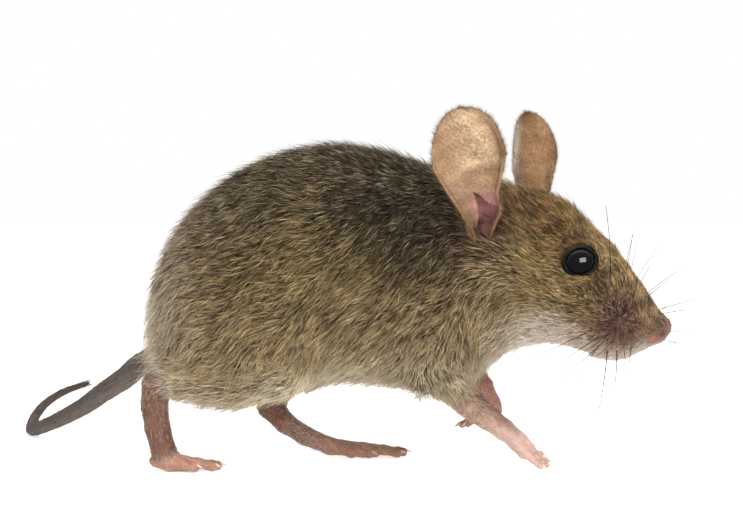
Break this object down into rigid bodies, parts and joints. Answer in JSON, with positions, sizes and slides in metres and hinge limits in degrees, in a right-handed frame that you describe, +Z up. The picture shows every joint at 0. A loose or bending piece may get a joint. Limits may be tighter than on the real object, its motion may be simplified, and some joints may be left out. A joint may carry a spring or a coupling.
{
  "type": "field mouse, still life-size model",
  "caption": "Still, life-size model of a brown field mouse walking, tail swung out to its left along the floor.",
  "frame": {"origin": "middle of the bounding box, at floor level", "axes": "+X from tail to nose, +Y to the animal's left, +Z up"},
  "size_m": [0.0956, 0.0828, 0.0475],
  "materials": {
    "coat": "short dense fur",
    "bare_skin": "bare skin",
    "ear_skin": "thin skin with fine down",
    "tail_skin": "ringed scaly skin",
    "eye": "wet gloss"
  },
  "bodies": {
    "root": {"trunk": "coat", "neck": "coat", "head": "coat", "nose": "bare_skin", "eye_right": "eye", "eye_left": "eye", "ear_right": "ear_skin", "ear_left": "ear_skin", "fore_right_leg": "coat", "fore_left_leg": "coat", "hind_right_leg": "coat", "hind_left_leg": "coat", "fore_right_foot": "bare_skin", "fore_left_foot": "bare_skin", "hind_right_foot": "bare_skin", "hind_left_foot": "bare_skin", "tail_root": "tail_skin", "tail_middle": "tail_skin", "tail_end": "tail_skin", "tail_tip": "tail_skin"}
  },
  "joints": []
}
